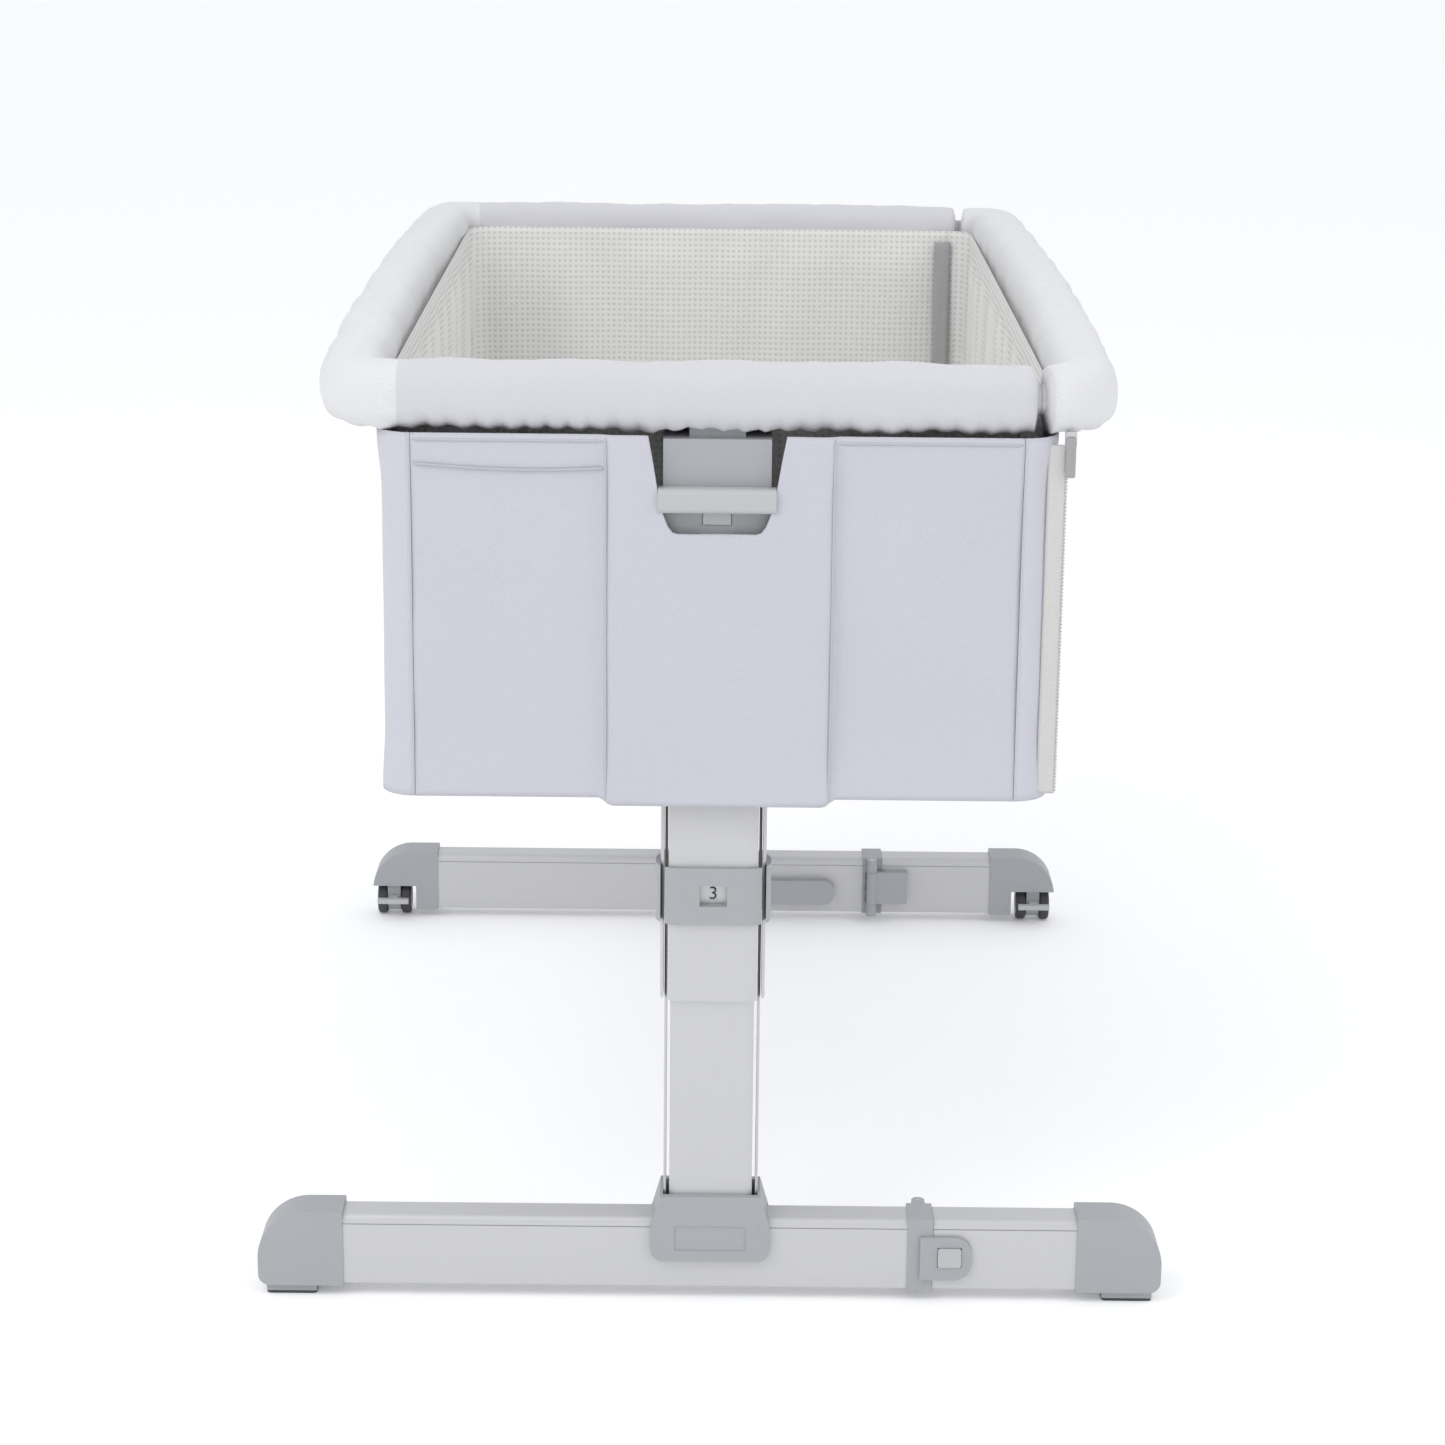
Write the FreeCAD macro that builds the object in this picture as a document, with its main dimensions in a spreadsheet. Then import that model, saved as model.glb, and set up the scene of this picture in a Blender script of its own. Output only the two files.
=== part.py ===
import FreeCAD, Part
import math
import os
import re
import Sketcher
from FreeCAD import Placement, Rotation, Vector

# Bassinet on a stand, in millimetres. X runs across the cot, Y along it, Z is up. The origin is
# on the floor under the middle of the cot. "Near" is the -Y end, "far" the +Y end, and "out" is
# -1 or +1 for the direction that points away from the cot's middle at that end. The right side
# (+X) is the one that drops.

SIZES = (
    ("cot_length", 930, "length over the padded rails"),
    ("cot_width", 574, "width over the padded rails"),
    ("leg_spacing", 872, "between the two leg axes"),
    ("foot_length", 688, "overall length of a foot"),
    ("rail_top", 720, "top of the padded rail, third of six heights"),
    ("rail_width", 48, "padded rail section, across"),
    ("rail_height", 48, "padded rail section, up"),
    ("rail_round", 20, "corner radius of the padded section"),
    ("rail_corner", 58, "outer radius of the rail's plan corners"),
    ("rail_tube_r", 11, "radius of the steel rail tube"),
    ("rail_tube_wall", 1.5, "wall of the steel rail tube"),
    ("soft_gap", 0.3, "clearance between a soft piece and what it meets"),
    ("seam_gap", 0.3, "gap between the fixed cover and the drop side"),
    ("floor_bottom", 404, "underside of the fabric box"),
    ("fabric_wall", 3, "thickness of the outer fabric walls and the floor"),
    ("box_width", 486, "outer width of the fabric box"),
    ("end_panel_out", 464.3, "outer face of an end panel from the middle"),
    ("box_corner", 26, "outer radius of the fabric box's corners"),
    ("pocket_proud", 4, "how far a leg pocket stands out of its panel"),
    ("pocket_left", 77, "left seam of the leg pocket"),
    ("pocket_right", 81, "right seam of the leg pocket"),
    ("pocket_hem", 399, "lower edge of the leg pocket"),
    ("mouth_width", 94, "width of the pocket's mouth"),
    ("mouth_low", 601, "lowest point of the pocket's mouth"),
    ("lining_wall", 2, "thickness of the mesh lining"),
    ("lining_lap", 4, "how far the lining reaches above the rail's middle"),
    ("mattress_thick", 45, "thickness of the mattress"),
    ("mattress_gap", 1.5, "gap round the mattress"),
    ("board_thick", 3, "thickness of the board under the mattress"),
    ("frame_tube_r", 8, "radius of the lower frame's tubes"),
    ("frame_half_x", 222, "lower frame's long tubes from the middle"),
    ("frame_block", 28, "side of the lower frame's corner blocks"),
    ("leg_bracket_width", 56, "width of the bracket between frame and leg"),
    ("tube_width", 78, "outer leg tube, across"),
    ("tube_depth", 36, "outer leg tube, along the cot"),
    ("tube_round", 14, "corner radius of the outer leg tube"),
    ("tube_wall", 2.5, "wall of the outer leg tube"),
    ("tube_bottom", 243, "lower rim of the outer leg tube"),
    ("tube_top", 640, "upper rim of the outer leg tube"),
    ("slide_gap", 0.75, "clearance between the leg tubes"),
    ("post_wall", 2, "wall of the inner post"),
    ("post_top", 530, "upper end of the inner post"),
    ("height_step", 30, "distance between two heights"),
    ("latch_level", 428, "level of the latch pin"),
    ("latch_pin_r", 4, "radius of the latch pin"),
    ("latch_gap", 0.4, "radial clearance of the latch pin"),
    ("latch_travel", 3, "travel of the latch pin"),
    ("collar_bottom", 304, "lower edge of the collar"),
    ("collar_height", 44, "height of the collar"),
    ("collar_wall", 3.6, "wall of the collar"),
    ("window_level", 326.5, "middle of the number window"),
    ("window_width", 20, "width of the number window"),
    ("window_height", 16, "height of the number window"),
    ("housing_width", 77, "width of the head housing"),
    ("housing_top", 668, "top of the head housing"),
    ("housing_front", 4.3, "thickness of the housing's front plate"),
    ("housing_low", 560, "lower edge of the housing's front plate"),
    ("channel_width", 24, "width of the latch channel"),
    ("channel_depth", 9.5, "depth of the latch channel"),
    ("channel_low", 418, "lower end of the latch channel"),
    ("neck_width", 40, "width of the neck that carries the rail"),
    ("neck_depth", 18, "depth of the neck that carries the rail"),
    ("lever_width", 84, "width of the height lever"),
    ("lever_low", 616, "lower edge of the height lever"),
    ("lever_height", 18, "height of the height lever"),
    ("lever_proud", 11.4, "how far the height lever stands out"),
    ("lever_travel", 10, "travel of the height lever"),
    ("stem_width", 20, "width of the lever's stem"),
    ("stem_low", 606.5, "lower edge of the lever's stem"),
    ("stem_height", 13.5, "height of the lever's stem"),
    ("rod_width", 9, "width of the lever's pull rod"),
    ("rod_thick", 2.6, "thickness of the lever's pull rod"),
    ("bar_bottom", 9.5, "underside of a foot's bar"),
    ("bar_height", 57, "height of a foot's bar"),
    ("bar_depth", 30, "depth of a foot's bar"),
    ("bar_wall", 1.6, "wall of a foot's bar"),
    ("bar_top_round", 6, "radius of the bar's upper shoulders"),
    ("bar_low_round", 2, "radius of the bar's lower shoulders"),
    ("groove_drop", 7, "groove below the bar's top"),
    ("groove_size", 0.8, "height and depth of the bar's groove"),
    ("cap_length", 65, "length of an end cap"),
    ("cap_proud", 1.2, "how far an end cap stands out of the bar"),
    ("cap_dome", 38, "radius of the end cap's dome"),
    ("cap_edge", 3, "radius of the end cap's long edges"),
    ("pad_length", 38, "length of a rest pad"),
    ("pad_depth", 24, "depth of a rest pad"),
    ("pad_inset", 6, "rest pad from the cap's outer end"),
    ("pad_thick", 2.2, "thickness of the rubber under a cap"),
    ("cover_half", 45, "half width of the base cover at its widest"),
    ("cover_top_half", 38, "half width of the base cover at its top"),
    ("cover_bottom", 33, "lower edge of the base cover"),
    ("cover_waist", 62, "level where the base cover is widest"),
    ("cover_top", 86, "upper edge of the base cover"),
    ("cover_wall", 5, "thickness of the base cover in front of the bar"),
    ("cover_round", 9, "radius of the base cover's lower corners"),
    ("badge_width", 54, "width of the base cover's plain recess"),
    ("badge_height", 20, "height of the base cover's plain recess"),
    ("badge_level", 52, "middle of the base cover's plain recess"),
    ("badge_sink", 0.6, "depth of the base cover's plain recess"),
    ("rest_end", 122, "outer end of the fold rest"),
    ("rest_low", 20, "lower edge of the fold rest"),
    ("rest_height", 25, "height of the fold rest"),
    ("rest_thick", 9, "thickness of the fold rest"),
    ("hinge_start", 150, "where the bar meets the hinge housing"),
    ("hinge_length", 19.5, "length of the hinge housing"),
    ("hinge_gap", 0.3, "gap between the housing and the folding bar"),
    ("hinge_proud", 0.8, "how far the hinge housing stands out"),
    ("hinge_pin_x", 159.5, "fold axis across the cot"),
    ("hinge_pin_in", 6.5, "fold axis inside the bar's inner face"),
    ("hinge_pin_r", 2, "radius of the fold pin"),
    ("pin_gap", 0.05, "radial clearance of pins and axles"),
    ("knuckle_r", 5, "radius of the hinge knuckles"),
    ("knuckle_high", 12.5, "height of the outer knuckles"),
    ("leaf_thick", 3, "thickness of the hinge leaves"),
    ("leaf_reach", 35.5, "reach of the folding leaf past the pin"),
    ("tongue_end", 199, "outer end of the tongue"),
    ("tongue_low", 18.5, "lower edge of the tongue"),
    ("tongue_height", 35, "height of the tongue"),
    ("tongue_thick", 3, "thickness of the tongue"),
    ("tongue_round", 13, "radius of the tongue's end"),
    ("button_left", 173.3, "left edge of the fold button"),
    ("button_width", 17.8, "width of the fold button"),
    ("button_low", 29.5, "lower edge of the fold button"),
    ("button_height", 15.5, "height of the fold button"),
    ("button_thick", 4.2, "thickness of the fold button"),
    ("button_gap", 0.3, "clearance round the fold button"),
    ("caster_inset", 20.5, "middle of a caster from the foot's end"),
    ("wheel_r", 16, "radius of a caster wheel"),
    ("wheel_width", 9.5, "width of a caster wheel"),
    ("wheel_span", 33, "overall width of a twin wheel"),
    ("tyre_thick", 5, "thickness of the tyre"),
    ("tyre_round", 2.5, "radius of the tyre's edges"),
    ("axle_r", 2.5, "radius of the caster axle"),
    ("fork_width", 12.8, "width of the caster fork"),
    ("fork_r", 12.5, "radius of the caster fork round the axle"),
    ("notch_level", 33, "underside of the cap's nose over the caster"),
    ("notch_length", 43, "length of the notch over the caster"),
    ("brake_width", 31, "width of the brake tab"),
    ("brake_size", 5, "thickness of the brake tab"),
    ("brake_level", 17.5, "underside of the brake tab"),
    ("brake_gap", 0.8, "gap between the brake and the fork"),
    ("brake_in", 27.5, "far edge of the brake tab from the axle"),
    ("slider_x", 250, "zip slider across the cot"),
    ("slider_y", 456, "zip slider from the middle"),
    ("slider_z", 670, "middle of the zip slider"),
    ("slider_width", 8, "width of the zip slider"),
    ("slider_depth", 5, "depth of the zip slider"),
    ("slider_height", 12, "height of the zip slider"),
    ("pull_width", 7, "width of the zip pull"),
    ("pull_thick", 1.6, "thickness of the zip pull"),
    ("pull_length", 27, "length of the zip pull"),
)

HEIGHTS_BELOW = 2
HEIGHTS_ABOVE = 3
ENDS = (("near", -1), ("far", 1))

doc = FreeCAD.newDocument("bassinet")
sheet = doc.addObject("Spreadsheet::Sheet", "sizes")
pieces = []


class Size:
    """The driving dimensions as plain numbers, read back from the sheet."""


def fill_sheet():
    for row, (alias, value, meaning) in enumerate(SIZES, 1):
        sheet.set(f"A{row}", meaning)
        sheet.set(f"B{row}", str(value))
        sheet.setAlias(f"B{row}", alias)
    doc.recompute()
    for alias, value, meaning in SIZES:
        setattr(Size, alias, float(getattr(sheet, alias)))


# ---- binding and placing ---------------------------------------------------------------------

def bind(owner, prop, formula):
    """Bind a property to a formula written in the sheet's aliases."""
    def cell(match):
        word = match.group(0)
        return f"sizes.{word}" if hasattr(Size, word) else word
    owner.setExpression(prop, re.sub(r"[a-z]\w*", cell, formula))


def place(piece, x="0", y="0", z="0"):
    for axis, formula in zip("xyz", (x, y, z)):
        bind(piece, f"Placement.Base.{axis}", formula)


def keep(piece, label):
    """Give a finished piece its own label and add it to the hand-out."""
    piece.Label = label
    pieces.append(piece)
    return piece


def outward(out, inner, outer):
    """Low and high Y of a stretch given by its distances towards the end's outside."""
    return (inner, outer) if out > 0 else (f"-({outer})", f"-({inner})")


def leg_centre(out):
    return f"{out} * leg_spacing / 2"


# ---- sketched bodies -------------------------------------------------------------------------

PLANES = {"x": "YZ_Plane", "y": "XZ_Plane", "z": "XY_Plane"}


def new_body(label, x="0", y="0", z="0"):
    body = doc.addObject("PartDesign::Body", label)
    place(body, x, y, z)
    return keep(body, label)


def new_sketch(body, axis, offset):
    """Sketch square to an axis of the body, at the given distance along that axis."""
    plane = [item for item in body.Origin.OriginFeatures if item.Role == PLANES[axis]][0]
    sketch = body.newObject("Sketcher::SketchObject", "outline")
    sketch.AttachmentSupport = (plane, "")
    sketch.MapMode = "FlatFace"
    # The XZ plane's normal points along -Y.
    bind(sketch, "AttachmentOffset.Base.z", f"-({offset})" if axis == "y" else offset)
    return sketch


def fix_point(sketch, shape, point, across, up):
    """Dimension one point of a shape from the sketch's origin."""
    for kind, formula in (("DistanceX", across), ("DistanceY", up)):
        if formula is not None:
            number = sketch.addConstraint(Sketcher.Constraint(kind, -1, 1, shape, point, 1.0))
            bind(sketch, f"Constraints[{number}]", formula)


def draw_polygon(sketch, corners):
    """Closed outline whose corners are all dimensioned from the origin."""
    count = len(corners)
    turn = 2 * math.pi / count
    dots = [Vector(math.cos(turn * i - 2.4), math.sin(turn * i - 2.4), 0) for i in range(count)]
    first = sketch.GeometryCount
    for i in range(count):
        sketch.addGeometry(Part.LineSegment(dots[i], dots[(i + 1) % count]))
    for i in range(count):
        after = first + (i + 1) % count
        sketch.addConstraint(Sketcher.Constraint("Coincident", first + i, 2, after, 1))
    for i, (across, up) in enumerate(corners):
        fix_point(sketch, first + i, 1, across, up)


def draw_rectangle(sketch, across, up):
    (left, right), (low, high) = across, up
    draw_polygon(sketch, ((left, low), (right, low), (right, high), (left, high)))


def draw_circle(sketch, across, up, radius):
    number = sketch.addGeometry(Part.Circle(Vector(0, 0, 0), Vector(0, 0, 1), 1.0))
    fix_point(sketch, number, 3, across, up)
    ring = sketch.addConstraint(Sketcher.Constraint("Radius", number, 1.0))
    bind(sketch, f"Constraints[{ring}]", radius)


def extrude(body, sketch, axis, span, cut):
    """Pad or pocket from a sketch towards the axis's positive side."""
    feature = body.newObject("PartDesign::Pocket" if cut else "PartDesign::Pad", "step")
    feature.Profile = sketch
    # A pad runs along the sketch's normal and a pocket against it.
    feature.Reversed = (axis == "y") != cut
    bind(feature, "Length", f"({span[1]}) - ({span[0]})")
    doc.recompute()
    return feature


def block(body, x, y, z, cut=False):
    """Straight block between low and high X, Y and Z, added to a body or cut from it."""
    sketch = new_sketch(body, "z", z[0])
    draw_rectangle(sketch, x, y)
    return extrude(body, sketch, "z", z, cut)


def disc(body, axis, centre, radius, span, cut=False):
    """Round bar along an axis, added to a body or cut from it."""
    sketch = new_sketch(body, axis, span[0])
    draw_circle(sketch, centre[0], centre[1], radius)
    return extrude(body, sketch, axis, span, cut)


def straight_edges(shape, axis, test):
    """Names of the straight edges along an axis whose middle passes a test."""
    names = []
    for number, edge in enumerate(shape.Edges, 1):
        if edge.Curve.TypeId != "Part::GeomLine":
            continue
        heading = edge.tangentAt(edge.FirstParameter)
        if abs(getattr(heading, axis)) > 0.999 and test(edge.CenterOfMass):
            names.append(f"Edge{number}")
    return names


def round_off(body, axis, radius, test=lambda middle: True):
    """Fillet the body's straight edges along an axis that pass a test."""
    base = body.Tip
    fillet = body.newObject("PartDesign::Fillet", "rounding")
    fillet.Base = (base, straight_edges(base.Shape, axis, test))
    bind(fillet, "Radius", radius)
    doc.recompute()
    return fillet


# ---- shapes that follow the cot's plan -------------------------------------------------------

def padded_section(width, height, radius, hole):
    """Rounded rectangle in the XZ plane round the origin, with a round hole for a tube."""
    box = Part.makeBox(width, 1, height, Vector(-width / 2, 0, -height / 2))
    upright = [edge for edge in box.Edges if abs(edge.tangentAt(edge.FirstParameter).y) > 0.999]
    rounded = box.makeFillet(radius, upright)
    tube = Part.makeCylinder(hole, 3, Vector(0, -1, 0), Vector(0, 1, 0))
    solid = rounded.cut(tube)
    return [face for face in solid.Faces if abs(face.CenterOfMass.y) < 1e-6][0]


def ring_section(outer, inner):
    face = Part.makeCylinder(outer, 1, Vector(), Vector(0, 1, 0))
    face = face.cut(Part.makeCylinder(inner, 3, Vector(0, -1, 0), Vector(0, 1, 0)))
    return [side for side in face.Faces if abs(side.CenterOfMass.y) < 1e-6][0]


def follow_rail(section, side, reach):
    """Carry a section from the near end round one side to the far end.

    side is -1 for the left and +1 for the right. reach is how far the two end runs go past the
    corner's tangent point towards the cot's middle.
    """
    bend = Size.rail_corner - Size.rail_width / 2
    half_x = Size.cot_width / 2 - Size.rail_width / 2
    half_y = Size.cot_length / 2 - Size.rail_width / 2
    level = Size.rail_top - Size.rail_height / 2
    parts = []
    side_run = section.copy()
    side_run.translate(Vector(side * half_x, -(half_y - bend), level))
    parts.append(side_run.extrude(Vector(0, 2 * (half_y - bend), 0)))
    for out in (-1, 1):
        start = section.copy()
        start.translate(Vector(side * half_x, out * (half_y - bend), level))
        pivot = Vector(side * (half_x - bend), out * (half_y - bend), 0)
        corner = start.revolve(pivot, Vector(0, 0, 1), 90 * side * out)
        parts.append(corner)
        if reach > 0:
            end = section.copy()
            end.rotate(Vector(), Vector(0, 0, 1), 90)
            end.translate(Vector(side * (half_x - bend), out * half_y, level))
            parts.append(end.extrude(Vector(-side * reach, 0, 0)))
    return parts[0].multiFuse(parts[1:]).removeSplitter()


def plan_wall(left, right, half_y, corners, low, high, thick):
    """Upright wall along the outline of a rectangle in plan, rounded at the named corners.

    left and right are the outer X of the outline, and corners is the pair of radii at the left
    and the right. The wall's thickness lies inside the outline.
    """
    outer = rounded_plan(left, right, half_y, corners)
    inner_corners = [max(radius - thick, 0.0) for radius in corners]
    inner = rounded_plan(left + thick, right - thick, half_y - thick, inner_corners)
    ring = outer.cut(inner)
    ring.translate(Vector(0, 0, low))
    return ring.extrude(Vector(0, 0, high - low))


def rounded_plan(left, right, half_y, corners):
    """Flat rectangle in plan with its left and right corners rounded."""
    points = []
    edges = []
    for x, y, sx, sy, radius in (
        (left, -half_y, 1, 1, corners[0]), (right, -half_y, -1, 1, corners[1]),
        (right, half_y, -1, -1, corners[1]), (left, half_y, 1, -1, corners[0]),
    ):
        diagonal = radius * (1 - math.sqrt(0.5))
        upright = Vector(x, y + sy * radius, 0)
        level = Vector(x + sx * radius, y, 0)
        middle = Vector(x + sx * diagonal, y + sy * diagonal, 0)
        first, last = (upright, level) if sx == sy else (level, upright)
        points.append((first, middle, last, radius))
    for number, (first, middle, last, radius) in enumerate(points):
        if radius > 0:
            edges.append(Part.Arc(first, middle, last).toShape())
        following = points[(number + 1) % len(points)][0]
        edges.append(Part.makeLine(last, following))
    return Part.Face(Part.Wire(edges))


def box_between(x, y, z):
    """Box from pairs of plain numbers."""
    (left, right), (front, back), (low, high) = [sorted(pair) for pair in (x, y, z)]
    return Part.makeBox(right - left, back - front, high - low, Vector(left, front, low))


def shaped(label, shape):
    """Piece whose shape is worked out from the sheet's sizes."""
    feature = doc.addObject("Part::Feature", label)
    feature.Shape = shape
    feature.Placement = Placement(Vector(0, 0, 0), Rotation())
    return keep(feature, label)


# ---- stand -----------------------------------------------------------------------------------

def build_post(end, out):
    body = new_body(f"{end}_post", y=leg_centre(out))
    half_x = "(tube_width / 2 - tube_wall - slide_gap)"
    half_y = "(tube_depth / 2 - tube_wall - slide_gap)"
    span = ("bar_bottom + bar_height", "post_top")
    block(body, (f"-{half_x}", half_x), (f"-{half_y}", half_y), span)
    round_off(body, "z", "tube_round - tube_wall - slide_gap")
    bore_x = f"({half_x} - post_wall)"
    bore_y = f"({half_y} - post_wall)"
    block(body, (f"-{bore_x}", bore_x), (f"-{bore_y}", bore_y), span, cut=True)
    front = outward(out, "0", "tube_depth / 2")
    for step in range(-HEIGHTS_BELOW, HEIGHTS_ABOVE + 1):
        level = f"latch_level + {step} * height_step"
        disc(body, "y", ("0", level), "latch_pin_r + latch_gap", front, cut=True)


def build_base_cover(end, out):
    body = new_body(f"{end}_base_cover", y=leg_centre(out))
    wrap = "(bar_depth / 2 + cover_wall)"
    sketch = new_sketch(body, "y", f"-{wrap}")
    draw_polygon(sketch, (
        ("-cover_half", "cover_bottom"), ("cover_half", "cover_bottom"),
        ("cover_half", "cover_waist"), ("cover_top_half", "cover_top"),
        ("-cover_top_half", "cover_top"), ("-cover_half", "cover_waist"),
    ))
    extrude(body, sketch, "y", (f"-{wrap}", wrap), cut=False)
    middle = (Size.cover_bottom + Size.cover_waist) / 2
    round_off(body, "y", "cover_round", lambda point: point.z < middle)
    rest = outward(out, "-bar_depth / 2 - rest_thick", "-bar_depth / 2")
    block(body, ("0", "rest_end"), rest, ("rest_low", "rest_low + rest_height"))
    round_off(body, "y", "rest_height * 0.45", lambda point: point.x > Size.rest_end - 1)
    block(body, ("-cover_half - 1", "rest_end + 1"), ("-bar_depth / 2", "bar_depth / 2"),
          ("0", "bar_bottom + bar_height"), cut=True)
    half_x = "(tube_width / 2 - tube_wall - slide_gap)"
    half_y = "(tube_depth / 2 - tube_wall - slide_gap)"
    block(body, (f"-{half_x}", half_x), (f"-{half_y}", half_y),
          ("bar_bottom + bar_height", "cover_top + 1"), cut=True)
    block(body, ("-badge_width / 2", "badge_width / 2"),
          outward(out, f"{wrap} - badge_sink", f"{wrap} + 1"),
          ("badge_level - badge_height / 2", "badge_level + badge_height / 2"), cut=True)


def build_bar(label, out, start, end):
    """Hollow bar with rounded shoulders and a groove under each upper shoulder."""
    body = new_body(label, y=leg_centre(out))
    top = "bar_bottom + bar_height"
    block(body, (start, end), ("-bar_depth / 2", "bar_depth / 2"), ("bar_bottom", top))
    waist = Size.bar_bottom + Size.bar_height / 2
    round_off(body, "x", "bar_top_round", lambda point: point.z > waist)
    round_off(body, "x", "bar_low_round", lambda point: point.z < waist)
    block(body, (start, end), ("-bar_depth / 2 + bar_wall", "bar_depth / 2 - bar_wall"),
          ("bar_bottom + bar_wall", f"{top} - bar_top_round"), cut=True)
    for side in (-1, 1):
        block(body, (start, end), outward(side, "bar_depth / 2 - groove_size", "bar_depth / 2 + 1"),
              (f"{top} - groove_drop - groove_size", f"{top} - groove_drop"), cut=True)
    return body


def build_main_bar(end, out):
    build_bar(f"{end}_main_bar", out, "-foot_length / 2 + cap_length", "hinge_start")


def build_fold_bar(end, out):
    body = build_bar(f"{end}_fold_bar", out, "hinge_start + hinge_length + hinge_gap",
                     "foot_length / 2 - cap_length")
    block(body, ("button_left - 1.3", "button_left + button_width + 1.3"),
          outward(out, "bar_depth / 2 - bar_wall - 1", "bar_depth / 2 + 1"),
          ("button_low - 1.3", "button_low + button_height + 1.3"), cut=True)


def build_cap(end, out, name, side):
    """Domed end cap, with a boss over a rest pad or a notch over a caster."""
    body = new_body(f"{end}_{name}_cap", x=f"{side} * foot_length / 2", y=leg_centre(out))
    half = "(bar_depth / 2 + cap_proud)"
    block(body, outward(side, "-cap_length", "0"), (f"-{half}", half),
          ("bar_bottom - cap_proud", "bar_bottom + bar_height + 2 * cap_proud"))
    waist = Size.bar_bottom + Size.bar_height / 2
    round_off(body, "y", "cap_dome", lambda point: point.z > waist and point.x * side > -1)
    round_off(body, "y", "cover_round", lambda point: point.z < waist and point.x * side > -1)
    if end == "near":
        block(body, outward(side, "-pad_inset - pad_length", "-pad_inset"),
              ("-pad_depth / 2", "pad_depth / 2"), ("pad_thick", "bar_bottom + cap_proud"))
    else:
        block(body, outward(side, "-notch_length", "1"), (f"-{half} - 1", f"{half} + 1"),
              ("0", "notch_level"), cut=True)


def build_pad(end, out, name, side):
    body = new_body(f"{end}_{name}_pad", x=f"{side} * foot_length / 2", y=leg_centre(out))
    block(body, outward(side, "-pad_inset - pad_length", "-pad_inset"),
          ("-pad_depth / 2", "pad_depth / 2"), ("0", "pad_thick"))
    round_off(body, "z", "cap_edge")


def build_hinge(end, out):
    """Housing at the end of the main bar, its tongue and its two knuckles."""
    body = new_body(f"{end}_hinge_housing", y=leg_centre(out))
    top = "(bar_bottom + bar_height)"
    front = "(bar_depth / 2 + hinge_proud)"
    inner = "(-bar_depth / 2)"
    finish = "(hinge_start + hinge_length)"
    block(body, ("hinge_start", finish), outward(out, inner, front),
          ("bar_bottom - hinge_proud", f"{top} + hinge_proud"))
    for low in ("bar_bottom - hinge_proud", f"{top} + hinge_proud - knuckle_high"):
        span = (low, f"{low} + knuckle_high")
        axis_y = f"-{out} * (bar_depth / 2 + hinge_pin_in)"
        block(body, ("hinge_pin_x - knuckle_r", "hinge_pin_x + knuckle_r"),
              outward(out, "-bar_depth / 2 - hinge_pin_in", inner), span)
        disc(body, "z", ("hinge_pin_x", axis_y), "knuckle_r", span)
        disc(body, "z", ("hinge_pin_x", axis_y), "hinge_pin_r", span, cut=True)
    for row in range(3):
        low = f"tongue_low + {row} * tongue_height / 3 + 2"
        block(body, ("hinge_start + 3", f"{finish} - 3"), outward(out, "-bar_depth / 2 - 1",
              "-bar_depth / 2 + 1.5"), (low, f"{low} + tongue_height / 3 - 4"), cut=True)
    tongue = outward(out, "bar_depth / 2 + button_gap", "bar_depth / 2 + button_gap + tongue_thick")
    block(body, ("hinge_start + hinge_length / 2", "tongue_end"), tongue,
          ("tongue_low", "tongue_low + tongue_height"))
    round_off(body, "y", "tongue_round", lambda point: point.x > Size.tongue_end - 1)
    block(body, ("button_left - button_gap", "button_left + button_width + button_gap"),
          outward(out, "bar_depth / 2", "bar_depth / 2 + tongue_thick + 2"),
          ("button_low - button_gap", "button_low + button_height + button_gap"), cut=True)


def build_hinge_leaf(end, out):
    """Folding leaf on the inner face of the folding bar, with the middle knuckle."""
    body = new_body(f"{end}_hinge_leaf", y=leg_centre(out))
    low = "(bar_bottom - hinge_proud + knuckle_high + hinge_gap)"
    high = "(bar_bottom + bar_height + hinge_proud - knuckle_high - hinge_gap)"
    axis_y = f"-{out} * (bar_depth / 2 + hinge_pin_in)"
    back = "-bar_depth / 2 - hinge_pin_in"
    block(body, ("hinge_pin_x", "hinge_pin_x + leaf_reach"),
          outward(out, f"{back} - knuckle_r / 2", f"{back} + knuckle_r / 2"), (low, high))
    disc(body, "z", ("hinge_pin_x", axis_y), "knuckle_r", (low, high))
    block(body, ("hinge_pin_x + knuckle_r + leaf_thick + knuckle_r", "hinge_pin_x + leaf_reach"),
          outward(out, back, "-bar_depth / 2"), (low, high))
    disc(body, "z", ("hinge_pin_x", axis_y), "hinge_pin_r + pin_gap", (low, high), cut=True)


def build_hinge_pin(end, out):
    pin = doc.addObject("Part::Cylinder", f"{end}_hinge_pin")
    bind(pin, "Radius", "hinge_pin_r")
    bind(pin, "Height", "bar_height + 2 * hinge_proud")
    place(pin, "hinge_pin_x", f"{leg_centre(out)} - {out} * (bar_depth / 2 + hinge_pin_in)",
          "bar_bottom - hinge_proud")
    keep(pin, f"{end}_hinge_pin")


def build_fold_button(end, out):
    body = new_body(f"{end}_fold_button", y=leg_centre(out))
    block(body, ("button_left", "button_left + button_width"),
          outward(out, "bar_depth / 2 + button_gap", "bar_depth / 2 + button_gap + button_thick"),
          ("button_low", "button_low + button_height"))
    round_off(body, "y", "button_height / 8")


# ---- casters ---------------------------------------------------------------------------------

def caster_x(side):
    return f"{side} * (foot_length / 2 - caster_inset)"


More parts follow.
